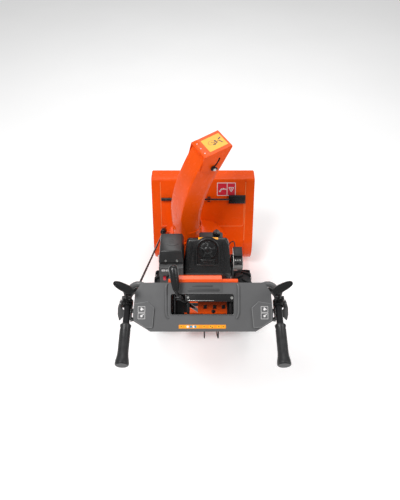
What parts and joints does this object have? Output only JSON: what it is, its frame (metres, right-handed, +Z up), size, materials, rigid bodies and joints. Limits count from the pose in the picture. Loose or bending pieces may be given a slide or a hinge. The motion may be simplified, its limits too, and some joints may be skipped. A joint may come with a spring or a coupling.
{
  "type": "snow blower",
  "caption": "Walk-behind two-stage snow blower with a wide auger housing, a turning discharge chute, an engine, lugged wheels and a dash between two grips.",
  "frame": {"origin": "on the ground, at the middle of the machine's width and length", "axes": "+Z up, +Y forward towards the auger, +X to the operator's right"},
  "size_m": [0.6442, 1.5001, 1.0417],
  "materials": {
    "housing_paint": "gloss powder coat",
    "black_paint": "satin",
    "engine_paint": "satin",
    "steel": "satin",
    "dash_plastic": "fine moulded grain",
    "black_plastic": "moulded",
    "cover_plastic": "moulded",
    "cap_plastic": "moulded, lightly glossy",
    "red_plastic": "moulded",
    "grip_rubber": "soft",
    "tyre_rubber": "rubber",
    "cable_sheath": "smooth"
  },
  "bodies": {
    "machine": {"auger_housing": "housing_paint", "side_plate_left": "housing_paint", "side_plate_right": "housing_paint", "impeller_drum": "housing_paint", "scraper_bar": "black_paint", "skid_shoe_left": "black_paint", "skid_shoe_right": "black_paint", "auger_gearbox": "engine_paint", "auger_belt": "cable_sheath", "belt_cover": "black_plastic", "chassis": "housing_paint", "engine_block": "engine_paint", "engine_cover": "cover_plastic", "recoil_starter": "black_plastic", "fuel_tank": "cover_plastic", "carburettor_cover": "cover_plastic", "control_panel": "black_plastic", "muffler": "steel", "electric_starter_box": "cover_plastic", "dash_panel": "dash_plastic", "dash_cap": "cap_plastic", "shift_plate": "housing_paint", "upper_handle_left": "black_paint", "upper_handle_right": "black_paint", "lower_handle": "black_paint", "grip_left": "grip_rubber", "grip_right": "grip_rubber", "lever_clamp_left": "black_plastic", "lever_clamp_right": "black_plastic", "drive_cable": "cable_sheath", "auger_cable": "cable_sheath"},
    "auger": {"auger_left": "black_paint", "auger_right": "black_paint", "auger_shaft": "steel"},
    "impeller": {"impeller": "black_paint", "impeller_shaft": "steel", "impeller_pulley": "steel"},
    "crankshaft": {"crankshaft": "steel"},
    "wheels": {"axle": "steel", "rim_left": "housing_paint", "rim_right": "housing_paint", "tyre_left": "tyre_rubber", "tyre_right": "tyre_rubber"},
    "chute": {"chute": "housing_paint"},
    "deflector": {"deflector": "housing_paint"},
    "deflector_knob": {"deflector_knob": "black_plastic"},
    "chute_crank": {"chute_crank_rod": "black_plastic"},
    "cleanout_tool": {"cleanout_tool": "black_plastic"},
    "shift_lever": {"shift_lever": "black_plastic"},
    "control_lever_left": {"control_lever_left": "black_plastic"},
    "control_lever_right": {"control_lever_right": "black_plastic"},
    "steering_trigger_left": {"steering_trigger_left": "dash_plastic"},
    "steering_trigger_right": {"steering_trigger_right": "dash_plastic"},
    "fuel_cap": {"fuel_cap": "black_plastic"},
    "starter_grip": {"starter_grip": "black_plastic"},
    "choke_knob": {"choke_knob": "black_plastic"},
    "primer_bulb": {"primer_bulb": "grip_rubber"},
    "engine_switch": {"engine_switch": "red_plastic"},
    "starter_button": {"starter_button": "black_plastic"}
  },
  "joints": [
    {"name": "auger_spin", "type": "hinge", "parent": "machine", "child": "auger", "pos_m": [0, 0.6, 0.168], "axis": [1, 0, 0], "continuous": true},
    {"name": "impeller_spin", "type": "hinge", "parent": "machine", "child": "impeller", "pos_m": [0, 0.4, 0.2], "axis": [0, 1, 0], "continuous": true},
    {"name": "crank_spin", "type": "hinge", "parent": "machine", "child": "crankshaft", "pos_m": [0.02, 0.1, 0.405], "axis": [0, 1, 0], "continuous": true},
    {"name": "wheel_spin", "type": "hinge", "parent": "machine", "child": "wheels", "pos_m": [0, 0.068, 0.165], "axis": [1, 0, 0], "continuous": true},
    {"name": "chute_rotation", "type": "hinge", "parent": "machine", "child": "chute", "pos_m": [-0.089, 0.34, 0.43], "axis": [0, 0, 1], "range_deg": [-37, 163]},
    {"name": "chute_crank_spin", "type": "hinge", "parent": "machine", "child": "chute_crank", "pos_m": [-0.226, 0.345, 0.432], "axis": [-0.0393, -0.8697, 0.492], "range_deg": [-340, 1480]},
    {"name": "deflector_tilt", "type": "hinge", "parent": "chute", "child": "deflector", "pos_m": [-0.0195, 0.37541, 0.963], "axis": [-0.454, 0.891, 0], "range_deg": [0, 40]},
    {"name": "deflector_knob_turn", "type": "hinge", "parent": "chute", "child": "deflector_knob", "pos_m": [0.05246, 0.32229, 0.89372], "axis": [0.454, -0.891, 0], "range_deg": [0, 270]},
    {"name": "tool_lift", "type": "slide", "parent": "machine", "child": "cleanout_tool", "axis": [0, -0.9104, 0.4137], "range_m": [0, 0.06]},
    {"name": "shift_lever_tilt", "type": "hinge", "parent": "machine", "child": "shift_lever", "pos_m": [-0.088, -0.51386, 0.93991], "axis": [1, 0, 0], "range_deg": [-3, 22]},
    {"name": "control_lever_left_press", "type": "hinge", "parent": "machine", "child": "control_lever_left", "pos_m": [-0.281, -0.51304, 0.92701], "axis": [1, 0, 0], "range_deg": [0, 35], "stiffness_Nm_per_rad": 1.2, "springref_deg": -17.19},
    {"name": "control_lever_right_press", "type": "hinge", "parent": "machine", "child": "control_lever_right", "pos_m": [0.281, -0.51304, 0.92701], "axis": [1, 0, 0], "range_deg": [0, 35], "stiffness_Nm_per_rad": 1.2, "springref_deg": -17.19},
    {"name": "steering_trigger_left_pull", "type": "hinge", "parent": "machine", "child": "steering_trigger_left", "pos_m": [-0.306, -0.50834, 0.89738], "axis": [-1, 0, 0], "range_deg": [0, 15], "stiffness_Nm_per_rad": 0.6, "springref_deg": -17.19},
    {"name": "steering_trigger_right_pull", "type": "hinge", "parent": "machine", "child": "steering_trigger_right", "pos_m": [0.306, -0.50834, 0.89738], "axis": [-1, 0, 0], "range_deg": [0, 15], "stiffness_Nm_per_rad": 0.6, "springref_deg": -17.19},
    {"name": "fuel_cap_turn", "type": "hinge", "parent": "machine", "child": "fuel_cap", "pos_m": [0.071, 0.184, 0.58], "axis": [0, 0, 1], "range_deg": [0, 90]},
    {"name": "starter_pull", "type": "slide", "parent": "machine", "child": "starter_grip", "axis": [0, -0.7959, 0.6054], "range_m": [0, 0.25], "stiffness_N_per_m": 40, "springref_m": -0.1},
    {"name": "choke_turn", "type": "hinge", "parent": "machine", "child": "choke_knob", "pos_m": [-0.176, -0.02, 0.447], "axis": [0, 1, 0], "range_deg": [0, 90]},
    {"name": "primer_press", "type": "slide", "parent": "machine", "child": "primer_bulb", "axis": [0, 1, 0], "range_m": [0, 0.005], "stiffness_N_per_m": 400, "springref_m": -0.003},
    {"name": "switch_slide", "type": "slide", "parent": "machine", "child": "engine_switch", "axis": [0, -1, 0], "range_m": [0, 0.006]},
    {"name": "starter_button_press", "type": "slide", "parent": "machine", "child": "starter_button", "axis": [0, 1, 0], "range_m": [0, 0.004], "stiffness_N_per_m": 500, "springref_m": -0.003}
  ],
  "couplings": [
    {"joint": "impeller_spin", "follows": "auger_spin", "ratio": 10},
    {"joint": "chute_crank_spin", "follows": "chute_rotation", "ratio": 9}
  ]
}
